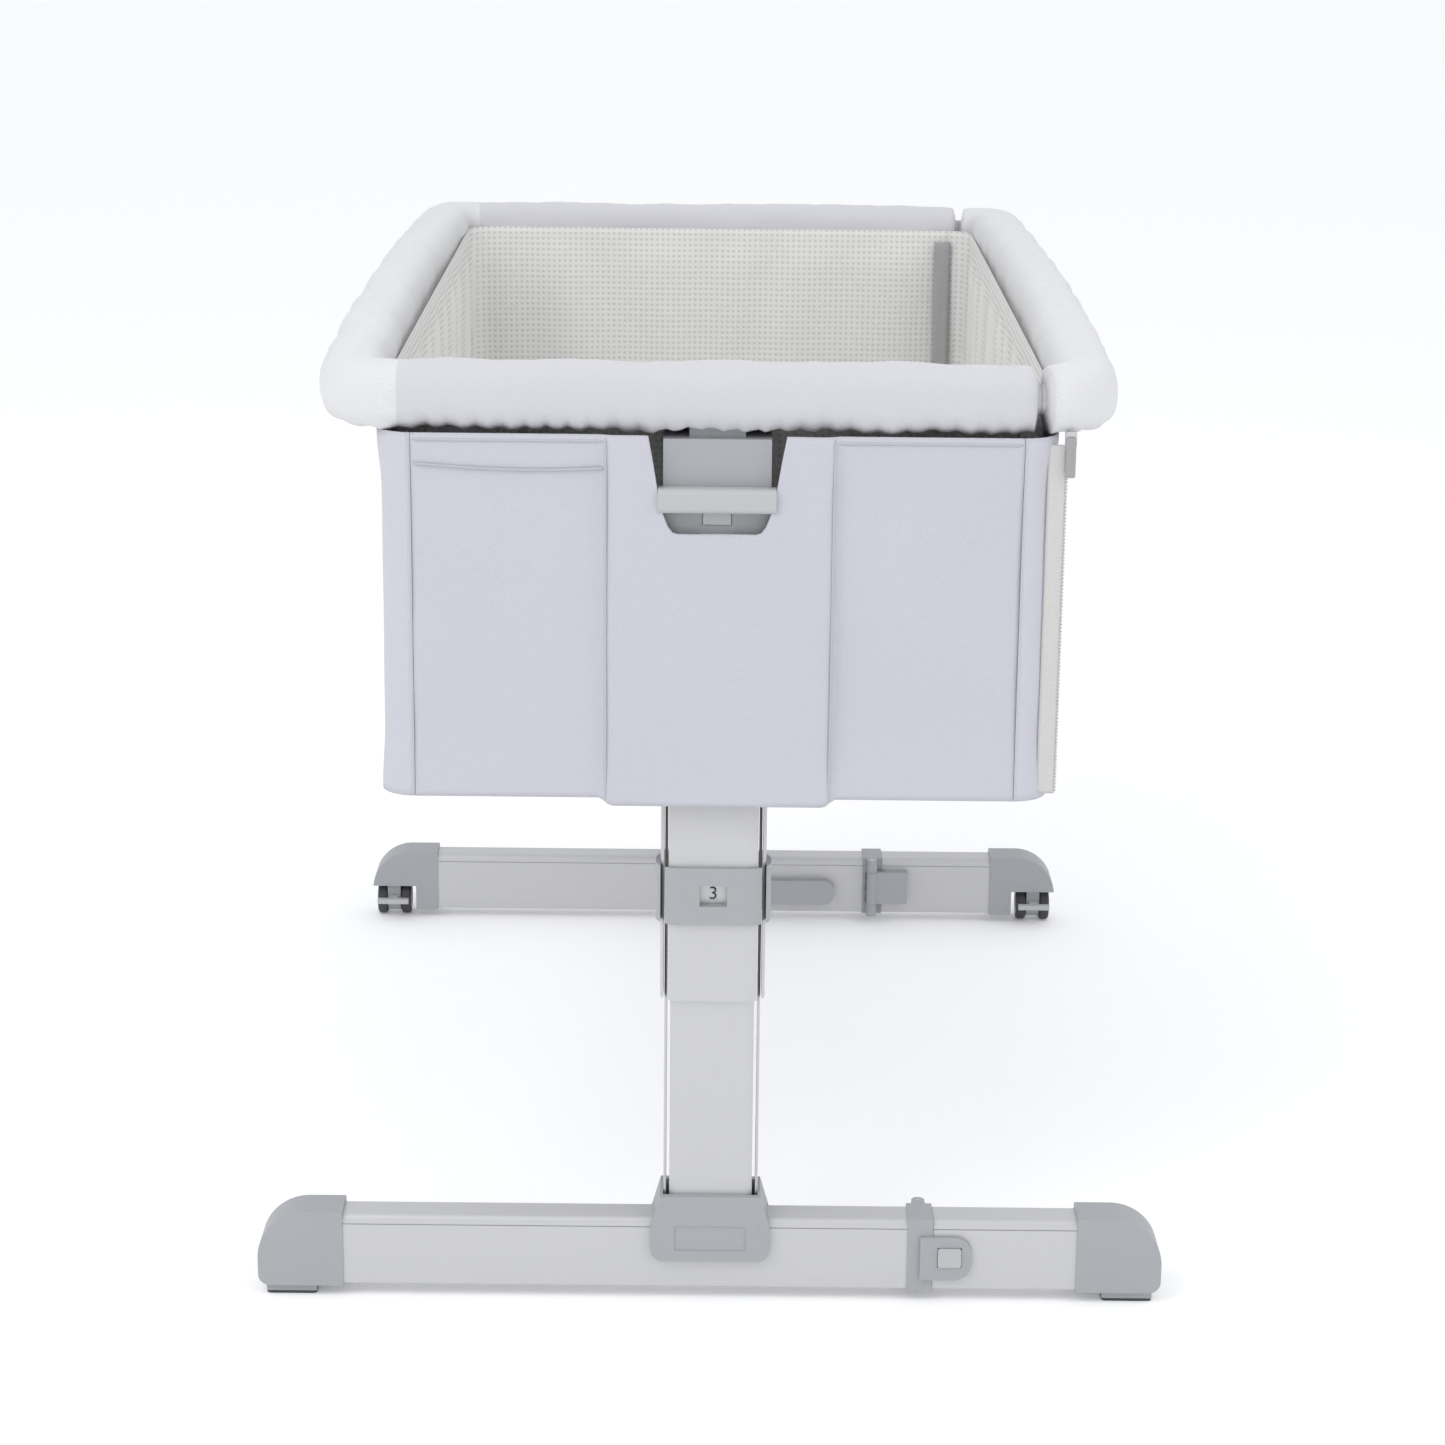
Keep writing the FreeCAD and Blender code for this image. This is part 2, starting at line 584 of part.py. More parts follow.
def build_caster(name, side):
    centre_x, centre_y = caster_x(side), leg_centre(1)
    half_fork = "fork_width / 2"
    fork = new_body(f"far_{name}_caster_fork", centre_x, centre_y)
    block(fork, (f"-{half_fork}", half_fork), ("-fork_r", "fork_r"), ("wheel_r", "notch_level"))
    disc(fork, "x", ("0", "wheel_r"), "fork_r", (f"-{half_fork}", half_fork))
    disc(fork, "x", ("0", "wheel_r"), "axle_r + pin_gap", (f"-{half_fork}", half_fork), cut=True)

    hubs = new_body(f"far_{name}_hubs", centre_x, centre_y)
    disc(hubs, "x", ("0", "wheel_r"), "axle_r", ("-wheel_span / 2", "wheel_span / 2"))
    for turn in (-1, 1):
        rim = outward(turn, "wheel_span / 2 - wheel_width", "wheel_span / 2")
        disc(hubs, "x", ("0", "wheel_r"), "wheel_r - tyre_thick", rim)

    tyres = doc.addObject("Part::Compound", f"far_{name}_tyres")
    place(tyres, centre_x, centre_y, "wheel_r")
    tyres.Links = [build_tyre(name, turn) for turn in (-1, 1)]
    keep(tyres, f"far_{name}_tyres")

    brake = new_body(f"far_{name}_brake", centre_x, centre_y)
    tab = ("-brake_in", "-brake_in + brake_size")
    level = ("brake_level", "brake_level + brake_size")
    block(brake, ("-brake_width / 2", "brake_width / 2"), tab, level)
    block(brake, ("-fork_width / 3", "fork_width / 3"), ("-brake_in", "-fork_r - brake_gap"), level)


def build_tyre(name, turn):
    tyre = doc.addObject("Part::Cut", f"{name}_tyre")
    solids = []
    for radius in ("wheel_r", "wheel_r - tyre_thick"):
        round_bar = doc.addObject("Part::Cylinder", f"{name}_tyre_round")
        bind(round_bar, "Radius", radius)
        bind(round_bar, "Height", "wheel_width")
        round_bar.Placement.Rotation = Rotation(Vector(0, 1, 0), 90)
        low = outward(turn, "wheel_span / 2 - wheel_width", "wheel_span / 2")[0]
        place(round_bar, low)
        solids.append(round_bar)
    tyre.Base, tyre.Tool = solids
    doc.recompute()
    rim = doc.addObject("Part::Fillet", f"{name}_tyre_rim")
    rim.Base = tyre
    edges = [number for number, edge in enumerate(tyre.Shape.Edges, 1)
             if edge.Curve.TypeId == "Part::GeomCircle" and edge.Curve.Radius > Size.wheel_r - 0.1]
    rim.Edges = [(number, Size.tyre_round, Size.tyre_round) for number in edges]
    return rim


# ---- head of each leg ------------------------------------------------------------------------

def tube_block(body, grow, span, cut=False):
    """Rounded block round the leg axis, as wide and deep as the outer tube plus grow all round."""
    half_x = f"(tube_width / 2 + {grow})"
    half_y = f"(tube_depth / 2 + {grow})"
    return block(body, (f"-{half_x}", half_x), (f"-{half_y}", half_y), span, cut)


def cut_window(body, out):
    block(body, ("-window_width / 2", "window_width / 2"),
          outward(out, "0", "tube_depth / 2 + collar_wall + 1"),
          ("window_level - window_height / 2", "window_level + window_height / 2"), cut=True)


def build_outer_tube(end, out):
    body = new_body(f"{end}_outer_tube", y=leg_centre(out))
    tube_block(body, "0", ("tube_bottom", "tube_top"))
    round_off(body, "z", "tube_round")
    tube_block(body, "-tube_wall", ("tube_bottom", "tube_top"), cut=True)
    disc(body, "y", ("0", "latch_level"), "latch_pin_r + latch_gap",
         outward(out, "0", "tube_depth / 2 + 1"), cut=True)
    cut_window(body, out)


def build_collar(end, out):
    body = new_body(f"{end}_collar", y=leg_centre(out))
    span = ("collar_bottom", "collar_bottom + collar_height")
    tube_block(body, "collar_wall", span)
    round_off(body, "z", "tube_round + collar_wall")
    tube = new_sketch(body, "z", span[0])
    draw_rectangle(tube, ("-tube_width / 2", "tube_width / 2"), ("-tube_depth / 2", "tube_depth / 2"))
    extrude(body, tube, "z", span, cut=True)
    cut_window(body, out)


def build_head_housing(end, out):
    """Cap of the leg tube: front plate, latch channel and the neck that carries the rail."""
    body = new_body(f"{end}_head_housing", y=leg_centre(out))
    plate = outward(out, "tube_depth / 2", "tube_depth / 2 + housing_front")
    half = "housing_width / 2"
    block(body, (f"-{half}", half), outward(out, "-tube_depth / 2", "tube_depth / 2 + housing_front"),
          ("tube_top", "housing_top"))
    block(body, (f"-{half}", half), plate, ("housing_low", "tube_top"))
    channel = "channel_width / 2"
    block(body, (f"-{channel}", channel),
          outward(out, "tube_depth / 2", "tube_depth / 2 + channel_depth"),
          ("channel_low", "stem_low - 6"))
    slot = outward(out, "tube_depth / 2 - 1", "tube_depth / 2 + rod_thick + 0.7")
    block(body, ("-rod_width / 2 - 0.5", "rod_width / 2 + 0.5"), slot,
          ("latch_level - latch_pin_r", "stem_low + stem_height + lever_travel + 0.5"), cut=True)
    block(body, ("-stem_width / 2 - 0.4", "stem_width / 2 + 0.4"),
          outward(out, "tube_depth / 2 - 1", "tube_depth / 2 + housing_front + 1"),
          ("stem_low - 0.5", "stem_low + stem_height + lever_travel + 0.5"), cut=True)
    disc(body, "y", ("0", "latch_level"), "latch_pin_r + latch_gap",
         outward(out, "tube_depth / 2", "tube_depth / 2 + channel_depth - 0.8"), cut=True)
    neck_y = f"{out} * (cot_length / 2 - rail_width / 2 - leg_spacing / 2)"
    rail_level = "rail_top - rail_height / 2"
    block(body, ("-neck_width / 2", "neck_width / 2"),
          (f"{neck_y} - neck_depth / 2", f"{neck_y} + neck_depth / 2"),
          ("housing_top", f"{rail_level} - rail_tube_r / 2"))
    disc(body, "x", (neck_y, rail_level), "rail_tube_r", ("-neck_width", "neck_width"), cut=True)


def build_lever(end, out):
    """Height lever: the ledge that the hand lifts, its stem and its pull rod."""
    body = new_body(f"{end}_lever", y=leg_centre(out))
    front = "(tube_depth / 2 + housing_front + soft_gap)"
    rod_in = "(tube_depth / 2 + 0.35)"
    half = "lever_width / 2"
    block(body, (f"-{half}", half), outward(out, front, f"{front} + lever_proud"),
          ("lever_low", "lever_low + lever_height"))
    face = Size.tube_depth / 2 + Size.housing_front + Size.lever_proud / 2
    round_off(body, "x", "lever_height / 4", lambda point: point.y * out > face)
    block(body, ("-stem_width / 2", "stem_width / 2"), outward(out, rod_in, f"{front} + 1"),
          ("stem_low", "stem_low + stem_height"))
    block(body, ("-rod_width / 2", "rod_width / 2"), outward(out, rod_in, f"{rod_in} + rod_thick"),
          ("latch_level + latch_pin_r + 1", "stem_low + 1"))


def build_latch_pin(end, out):
    body = new_body(f"{end}_latch_pin", y=leg_centre(out))
    disc(body, "y", ("0", "latch_level"), "latch_pin_r",
         outward(out, "tube_depth / 2 - tube_wall - slide_gap + 0.3",
                 "tube_depth / 2 + channel_depth - 1.2 - latch_travel"))


# ---- fabric box and its frame ----------------------------------------------------------------

def build_rail(side, reach):
    """Padded cover and steel tube of one part of the rail."""
    section = padded_section(Size.rail_width, Size.rail_height, Size.rail_round,
                             Size.rail_tube_r + Size.soft_gap)
    cover = follow_rail(section, side, reach)
    tube = follow_rail(ring_section(Size.rail_tube_r, Size.rail_tube_r - Size.rail_tube_wall),
                       side, reach)
    return cover, tube


def tangent_x():
    return Size.cot_width / 2 - Size.rail_corner


def build_rails():
    fixed_reach = 2 * tangent_x() - Size.seam_gap
    cover, tube = build_rail(-1, fixed_reach)
    centre = Size.cot_length / 2 - Size.rail_width / 2
    half_x = Size.neck_width / 2 + Size.soft_gap
    half_y = Size.neck_depth / 2 + Size.soft_gap
    middle = Size.rail_top - Size.rail_height / 2
    for end, out in ENDS:
        cover = cover.cut(box_between((-half_x, half_x),
                                      (out * centre - half_y, out * centre + half_y),
                                      (Size.rail_top - Size.rail_height - 1, middle)))
    shaped("fixed_rail_cover", cover)
    shaped("top_rail_tube", tube)
    cover, tube = build_rail(1, 0)
    shaped("right_rail_cover", cover)
    shaped("right_rail_tube", tube)


def box_split():
    """X of the corner's tangent point, where the fixed cover and the drop side meet."""
    return Size.box_width / 2 - Size.box_corner


def build_side_panels():
    low = Size.floor_bottom
    high = Size.rail_top - Size.rail_height - Size.soft_gap
    half = Size.box_width / 2
    ring = plan_wall(-half, half, Size.end_panel_out, (Size.box_corner, Size.box_corner),
                     low, high, Size.fabric_wall)
    reach = Size.end_panel_out + 1
    split = box_split()
    levels = (low - 1, high + 1)
    left = box_between((-half - 1, -split), (-reach, reach), levels)
    right = box_between((split + Size.seam_gap, half + 1), (-reach, reach), levels)
    shaped("left_side_panel", ring.common(left))
    shaped("right_side_panel", ring.common(right))
    mouth = Size.mouth_width / 2
    for end, out in ENDS:
        middle = box_between((-split, split), (0, out * reach), levels)
        outer = out * Size.end_panel_out
        inner = out * (Size.end_panel_out - Size.fabric_wall)
        proud = out * (Size.end_panel_out + Size.pocket_proud)
        back = out * (Size.end_panel_out + Size.pocket_proud - Size.fabric_wall)
        across = (-Size.pocket_left, Size.pocket_right)
        wall = Size.fabric_wall
        panel = ring.common(middle)
        panel = panel.cut(box_between((across[0] + wall, across[1] - wall), (inner, outer),
                                      (low - 1, high + 1)))
        pocket = box_between(across, (inner, proud), (Size.pocket_hem, high))
        pocket = pocket.cut(box_between((across[0] + wall, across[1] - wall), (inner, back),
                                        (Size.pocket_hem, high)))
        panel = panel.fuse(pocket)
        panel = panel.cut(box_between((-mouth, mouth), (inner, proud + out),
                                      (Size.mouth_low, high + 1)))
        shaped(f"{end}_end_panel", panel.removeSplitter())


def build_linings():
    high = Size.rail_top - Size.rail_height / 2 + Size.lining_lap
    low = board_top()
    gap = Size.soft_gap
    half_x = Size.cot_width / 2 - Size.rail_width - gap
    half_y = Size.cot_length / 2 - Size.rail_width - gap
    radius = Size.rail_corner - Size.rail_width
    ring = plan_wall(-half_x, half_x, half_y, (radius, radius), low, high, Size.lining_wall)
    split = tangent_x()
    fixed = box_between((-half_x - 1, split - Size.seam_gap), (-half_y - 1, half_y + 1),
                        (low - 1, high + 1))
    drop = box_between((split, half_x + 1), (-half_y - 1, half_y + 1), (low - 1, high + 1))
    shaped("fixed_lining", ring.common(fixed))
    shaped("right_lining", ring.common(drop))


def frame_level():
    return Size.floor_bottom + Size.fabric_wall + Size.soft_gap + Size.frame_tube_r


def board_top():
    return frame_level() + Size.frame_tube_r + Size.soft_gap + Size.board_thick


def frame_half_y():
    lining = Size.cot_length / 2 - Size.rail_width - Size.soft_gap - Size.lining_wall
    return lining - Size.frame_block / 2


def build_lower_frame():
    level = frame_level()
    half_x, half_y = Size.frame_half_x, frame_half_y()
    reach = Size.frame_block / 2
    radius = Size.frame_tube_r
    tubes = []
    brackets = []
    for side in (-1, 1):
        start = Vector(side * half_x, -(half_y - reach), level)
        tubes.append(Part.makeCylinder(radius, 2 * (half_y - reach), start, Vector(0, 1, 0)))
        start = Vector(-(half_x - reach), side * half_y, level)
        tubes.append(Part.makeCylinder(radius, 2 * (half_x - reach), start, Vector(1, 0, 0)))
        for out in (-1, 1):
            brackets.append(box_between((side * half_x - reach, side * half_x + reach),
                                        (out * half_y - reach, out * half_y + reach),
                                        (level - radius, level + radius)))
    for out in (-1, 1):
        width = Size.leg_bracket_width / 2
        back = out * (Size.leg_spacing / 2 - Size.tube_depth / 2)
        bracket = box_between((-width, width), (out * half_y, back),
                              (level - radius, level + radius))
        tube = Part.makeCylinder(radius, 4 * width, Vector(-2 * width, out * half_y, level),
                                 Vector(1, 0, 0))
        brackets.append(bracket.cut(tube))
    shaped("lower_frame_tubes", Part.makeCompound(tubes))
    shaped("frame_brackets", Part.makeCompound(brackets))


def build_floor():
    gap = Size.soft_gap
    half_x = Size.box_width / 2 - Size.fabric_wall - gap
    half_y = Size.end_panel_out - Size.fabric_wall - gap
    radius = Size.box_corner - Size.fabric_wall
    sheet_face = rounded_plan(-half_x, half_x, half_y, (radius, radius))
    sheet_face.translate(Vector(0, 0, Size.floor_bottom))
    floor = sheet_face.extrude(Vector(0, 0, Size.fabric_wall))
    tube_x = Size.tube_width / 2 + 1
    inner_y = Size.leg_spacing / 2 - Size.tube_depth / 2 - 1
    for out in (-1, 1):
        floor = floor.cut(box_between((-tube_x, tube_x), (out * inner_y, out * (half_y + 1)),
                                      (Size.floor_bottom - 1, Size.floor_bottom + 9)))
    shaped("floor_sheet", floor)


def build_bed():
    inner_x = Size.cot_width / 2 - Size.rail_width - Size.soft_gap - Size.lining_wall
    inner_y = Size.cot_length / 2 - Size.rail_width - Size.soft_gap - Size.lining_wall
    inner_radius = Size.rail_corner - Size.rail_width - Size.lining_wall
    low = board_top() - Size.board_thick
    face = rounded_plan(-inner_x + Size.mattress_gap, inner_x - Size.mattress_gap,
                        inner_y - Size.mattress_gap, (inner_radius, inner_radius))
    board = face.copy()
    board.translate(Vector(0, 0, low))
    shaped("mattress_board", board.extrude(Vector(0, 0, Size.board_thick)))
    face.translate(Vector(0, 0, board_top() + Size.soft_gap))
    shaped("mattress", face.extrude(Vector(0, 0, Size.mattress_thick)))


def build_zip(end, out):
    slider = new_body(f"{end}_zip_slider", "slider_x", f"{out} * slider_y", "slider_z")
    block(slider, ("-slider_width / 2", "slider_width / 2"), ("-slider_depth / 2", "slider_depth / 2"),
          ("-slider_height / 2", "slider_height / 2"))
    round_off(slider, "y", "slider_width / 4")
    pull = new_body(f"{end}_zip_pull", "slider_x", f"{out} * slider_y", "slider_z")
    face = "(slider_depth / 2 + soft_gap)"
    block(pull, ("-pull_width / 2", "pull_width / 2"),
          outward(out, face, f"{face} + pull_thick"), ("-pull_length", "slider_height / 6"))
    round_off(pull, "y", "pull_width / 4")


# ---- making and writing ----------------------------------------------------------------------

def build_all():
    for end, out in ENDS:
        build_post(end, out)
        build_base_cover(end, out)
        build_main_bar(end, out)
        build_fold_bar(end, out)
        for name, side in (("left", -1), ("right", 1)):
            build_cap(end, out, name, side)
            if end == "near":
                build_pad(end, out, name, side)
        build_hinge(end, out)
        build_hinge_leaf(end, out)
        build_hinge_pin(end, out)
        build_fold_button(end, out)
        build_outer_tube(end, out)
        build_collar(end, out)
        build_head_housing(end, out)
        build_lever(end, out)
        build_latch_pin(end, out)
        build_zip(end, out)
    for name, side in (("left", -1), ("right", 1)):
        build_caster(name, side)
    build_rails()
    build_side_panels()
    build_linings()
    build_lower_frame()
    build_floor()
    build_bed()


def check_all():
    faults = []
    for item in doc.Objects:
        if "Invalid" in item.State or "Error" in item.State:
            faults.append(f"{item.Name} failed")
    for piece in pieces:
        if piece.Shape.isNull() or not piece.Shape.isValid() or not piece.Shape.Solids:
            faults.append(f"{piece.Label} has no valid solid")
    if faults:
        raise RuntimeError("; ".join(faults))


def write_all():
    os.makedirs("parts", exist_ok=True)
    for piece in pieces:
        piece.Shape.exportStep(f"parts/{piece.Label}.step")


fill_sheet()
build_all()
doc.recompute()
check_all()
write_all()
print(len(pieces), "pieces written")
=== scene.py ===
import math

import bpy
from mathutils import Matrix, Vector, noise


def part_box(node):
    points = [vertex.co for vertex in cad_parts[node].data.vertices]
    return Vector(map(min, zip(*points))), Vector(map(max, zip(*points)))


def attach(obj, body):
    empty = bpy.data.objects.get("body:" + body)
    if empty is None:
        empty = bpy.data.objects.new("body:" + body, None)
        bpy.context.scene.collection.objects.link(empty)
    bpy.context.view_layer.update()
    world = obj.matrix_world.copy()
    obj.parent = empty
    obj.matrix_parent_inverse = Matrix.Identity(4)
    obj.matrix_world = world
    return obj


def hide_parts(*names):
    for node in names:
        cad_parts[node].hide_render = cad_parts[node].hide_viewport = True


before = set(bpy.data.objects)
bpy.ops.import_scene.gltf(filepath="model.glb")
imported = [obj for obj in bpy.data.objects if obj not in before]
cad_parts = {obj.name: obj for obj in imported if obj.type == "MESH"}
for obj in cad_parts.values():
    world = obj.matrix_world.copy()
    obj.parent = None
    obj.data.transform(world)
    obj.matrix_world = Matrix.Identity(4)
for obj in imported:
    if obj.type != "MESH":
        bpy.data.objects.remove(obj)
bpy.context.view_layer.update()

bl_info = {
    "name": "Bedside bassinet",
    "version": (1, 0, 0),
    "blender": (4, 5, 0),
    "location": "View3D > Sidebar > Bassinet",
    "description": "Fabric, padding, zips and finishes of a bassinet on a folding stand",
    "category": "Object",
}

ENDS = (("near", -1), ("far", 1))

# Places in metres. "Out" is measured from the middle towards an end.
MOUTH_LOW = 0.601
WINDOW_REACH = 0.36
WINDOW_LOW, WINDOW_HIGH = 0.484, 0.610
ZIP_EDGE = (0.2475, 0.4555)
FIGURE_OUT = 0.4509
THIRD_FIGURE_LEVEL = 0.3265
HEIGHT_STEP = 0.030
SEAM_PROUD = 0.0002


# ---- places taken from the frame -------------------------------------------------------------

class Plan:
    """Sizes of the cot, in metres, from the nodes that the soft pieces stand for."""
    rail_low, rail_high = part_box("fixed_rail_cover")
    drop_low, drop_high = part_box("right_rail_cover")
    box_low, box_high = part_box("left_side_panel")
    right_low, right_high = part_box("right_side_panel")
    end_low, end_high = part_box("near_end_panel")
    half_x = drop_high[0]
    half_y = drop_high[1]
    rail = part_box("fixed_rail_cover")[1][2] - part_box("fixed_rail_cover")[0][2]
    split = drop_low[0]
    corner = half_x - split
    level = rail_high[2] - rail / 2
    wall_x = right_high[0]
    wall_y = right_high[1]
    wall_corner = wall_x - right_low[0]
    floor = box_low[2]
    hem = end_low[2]


# ---- shader maths ----------------------------------------------------------------------------

class Signal:
    """A socket of a material that can be used in sums like a number."""

    def __init__(self, finish, socket):
        self.finish = finish
        self.socket = socket

    def maths(self, operation, other=0.0, swap=False):
        first, second = (other, self) if swap else (self, other)
        return self.finish.node("ShaderNodeMath", {"operation": operation}, [first, second])

    def __add__(self, other):
        return self.maths("ADD", other)

    __radd__ = __add__

    def __sub__(self, other):
        return self.maths("SUBTRACT", other)

    def __rsub__(self, other):
        return self.maths("SUBTRACT", other, swap=True)

    def __mul__(self, other):
        return self.maths("MULTIPLY", other)

    __rmul__ = __mul__

    def __truediv__(self, other):
        return self.maths("DIVIDE", other)

    def sine(self):
        return self.maths("SINE")

    def size(self):
        return self.maths("ABSOLUTE")

    def power(self, other):
        return self.maths("POWER", other)


class Finish:
    """One procedural material built round a Principled shader."""

    def __init__(self, name, colour, roughness, metallic=0.0, sheen=0.0):
        self.material = bpy.data.materials.new(name)
        self.material.use_nodes = True
        self.tree = self.material.node_tree
        self.shader = self.tree.nodes["Principled BSDF"]
        self.colour = colour
        self.set("Base Color", (*colour, 1.0))
        self.set("Roughness", roughness)
        self.set("Metallic", metallic)
        self.set("Sheen Weight", sheen)
        self.material.diffuse_color = (*colour, 1.0)

    def set(self, socket, value):
        if isinstance(value, Signal):
            self.tree.links.new(value.socket, self.shader.inputs[socket])
        else:
            self.shader.inputs[socket].default_value = value

    def node(self, kind, settings=None, inputs=(), output=0):
        made = self.tree.nodes.new(kind)
        for name, value in (settings or {}).items():
            setattr(made, name, value)
        pairs = inputs.items() if isinstance(inputs, dict) else enumerate(inputs)
        for key, value in pairs:
            if isinstance(value, Signal):
                self.tree.links.new(value.socket, made.inputs[key])
            else:
                made.inputs[key].default_value = value
        return Signal(self, made.outputs[output])

    def place(self):
        """Object coordinates as three signals."""
        where = self.tree.nodes.new("ShaderNodeTexCoord").outputs["Object"]
        split = self.tree.nodes.new("ShaderNodeSeparateXYZ")
        self.tree.links.new(where, split.inputs[0])
        return [Signal(self, socket) for socket in split.outputs]

    def grain(self, scale, detail=3.0, stretch=(1, 1, 1)):
        """Noise on Object coordinates, stretched along the axes."""
        where = Signal(self, self.tree.nodes.new("ShaderNodeTexCoord").outputs["Object"])
        mapped = self.node("ShaderNodeMapping", None, {"Vector": where, "Scale": stretch})
        return self.node("ShaderNodeTexNoise", None,
                         {"Vector": mapped, "Scale": scale, "Detail": detail})

    def tint(self, factor, other):
        """Mix the base colour with another one by a signal."""
        mixed = self.node("ShaderNodeMix", {"data_type": "RGBA"},
                          {"Factor": factor, 6: (*self.colour, 1.0), 7: (*other, 1.0)}, output=2)
        self.set("Base Color", mixed)

    def relief(self, height, distance, strength=1.0):
        bump = self.node("ShaderNodeBump", None,
                         {"Height": height, "Distance": distance, "Strength": strength})
        self.set("Normal", bump)


def darker(colour, share):
    return tuple(channel * share for channel in colour)


def woven(name, colour, thread=0.0011, along=(0, 2), sheen=0.25):
    """Plain-weave polyester: crossing threads, slubs and a soft uneven tone."""
    finish = Finish(name, colour, 0.82, sheen=sheen)
    axes = finish.place()
    turn = 2 * math.pi / thread
    warp = (axes[along[0]] * turn).sine()
    weft = (axes[along[1]] * turn).sine()
    slub = finish.grain(380, 2.0, (0.2, 0.2, 1.0))
    cloud = finish.grain(9, 4.0)
    finish.relief(warp * weft * 0.5 + slub * 0.6 + cloud * 2.0, 0.0005, 0.45)
    finish.tint(cloud * 0.28 + slub * 0.12, darker(colour, 0.86))
    return finish.material


def eyelet(name, colour, pitch=0.0052, along=(0, 2)):
    """Knitted mesh with a grid of small holes between raised ribs."""
    finish = Finish(name, colour, 0.9, sheen=0.2)
    axes = finish.place()
    turn = math.pi / pitch
    across = (axes[along[0]] * turn).sine().size()
    up = (axes[along[1]] * turn).sine().size()
    hole = (across * up).power(3.0)
    thread = finish.grain(700, 2.0)
    cloud = finish.grain(14, 3.0)
    finish.relief(1.0 - hole + thread * 0.25 + cloud * 0.8, 0.0009, 0.55)
    finish.tint(hole * 0.55 + cloud * 0.12, darker(colour, 0.6))
    return finish.material


def moulded(name, colour, roughness=0.48):
    """Moulded plastic with a fine spark-eroded grain."""
    finish = Finish(name, colour, roughness)
    grain = finish.grain(900, 2.0)
    flow = finish.grain(12, 3.0)
    finish.relief(grain, 0.00025, 0.3)
    finish.set("Roughness", grain * 0.12 + flow * 0.1 + (roughness - 0.1))
    finish.tint(flow * 0.16, darker(colour, 0.9))
    return finish.material


def drawn_metal(name, colour, along, roughness=0.34, metallic=0.55):
    """Satin drawn metal with hairlines along one axis."""
    finish = Finish(name, colour, roughness, metallic)
    stretch = [60.0, 60.0, 60.0]
    stretch[along] = 0.6
    lines = finish.grain(18, 3.0, tuple(stretch))
    cloud = finish.grain(7, 3.0)
    finish.relief(lines, 0.00008, 0.35)
    finish.set("Roughness", lines * 0.14 + cloud * 0.1 + (roughness - 0.1))
    finish.tint(lines * 0.14 + cloud * 0.08, darker(colour, 0.84))
    return finish.material


def rubber(name, colour):
    finish = Finish(name, colour, 0.75)
    grain = finish.grain(500, 4.0)
    dust = finish.grain(30, 4.0)
    finish.relief(grain, 0.0003, 0.5)
    finish.tint(dust * 0.4, tuple(channel * 1.9 + 0.01 for channel in colour))
    return finish.material


def knitted_tape(name, colour):
    finish = Finish(name, colour, 0.8, sheen=0.1)
    across, _, up = finish.place()
    rib = (up * (2 * math.pi / 0.0014)).sine()
    twill = ((across + up) * (2 * math.pi / 0.0022)).sine()
    finish.relief(rib * 0.5 + twill * 0.5, 0.0003, 0.6)
    finish.tint(twill.size() * 0.25, darker(colour, 0.8))
    return finish.material


# ---- settings --------------------------------------------------------------------------------

def colour_setting(name, description, default):
    return bpy.props.FloatVectorProperty(
        name=name, description=description, subtype="COLOR", size=3, min=0, max=1, default=default)


def length_setting(name, description, default):
    return bpy.props.FloatProperty(
        name=name, description=description, default=default, min=0, unit="LENGTH")


class BassinetColours(bpy.types.PropertyGroup):
    cloth: colour_setting("Cloth", "Outer fabric", (0.565, 0.565, 0.625))
    padding: colour_setting("Padding", "Fabric over the end rails", (0.62, 0.615, 0.655))
    # Painted light: a lighter copy of the end-rail padding for the side rails, standing in for the
    # side lamps that light them. The fabric is the same all round.
    side_padding: colour_setting("Side padding with painted light", "Fabric over the side rails", (0.71, 0.71, 0.72))
    mesh: colour_setting("Mesh", "Lining", (0.76, 0.755, 0.735))
    window: colour_setting("Window", "Ventilation window of a side", (0.9, 0.9, 0.91))
    bed: colour_setting("Mattress", "Mattress cover", (0.82, 0.82, 0.81))
    plastic: colour_setting("Plastic", "Moulded fittings", (0.36, 0.37, 0.385))
    pale_plastic: colour_setting("Pale plastic", "Levers and brake tabs", (0.46, 0.47, 0.48))
    tube: colour_setting("Tube", "Leg tubes and foot bars", (0.56, 0.56, 0.565))
    tyre: colour_setting("Tyre", "Wheels and pads", (0.045, 0.045, 0.05))


class BassinetSizes(bpy.types.PropertyGroup):
    fabric: length_setting("Fabric", "Thickness of the outer fabric", 0.0018)
    lining: length_setting("Lining", "Thickness of the mesh lining", 0.0012)
    crease: length_setting("Crease", "Depth of the folds in the fabric", 0.0034)
    tooth: length_setting("Zip tooth", "Distance between two zip teeth", 0.0026)
    welt: length_setting("Welt", "Radius of the piped seams", 0.0009)


# ---- making meshes ---------------------------------------------------------------------------

def sizes():
    return bpy.context.scene.bassinet_sizes


def colours():
    return bpy.context.scene.bassinet_colours


def select_only(piece):
    bpy.ops.object.select_all(action="DESELECT")
    piece.select_set(True)
    bpy.context.view_layer.objects.active = piece


def name_piece(piece, name, material):
    piece.name = name
    piece.data.name = name
    piece.data.materials.clear()
    piece.data.materials.append(material)
    return piece


def edit(piece, *steps):
    """Run edit-mode steps on the whole of a piece."""
    select_only(piece)
    bpy.ops.object.mode_set(mode="EDIT")
    bpy.ops.mesh.select_all(action="SELECT")
    for step in steps:
        step()
    bpy.ops.object.mode_set(mode="OBJECT")


def settle(piece):
    """Put a piece's place and turn into its mesh."""
    select_only(piece)
    bpy.ops.object.transform_apply(location=True, rotation=True, scale=True)


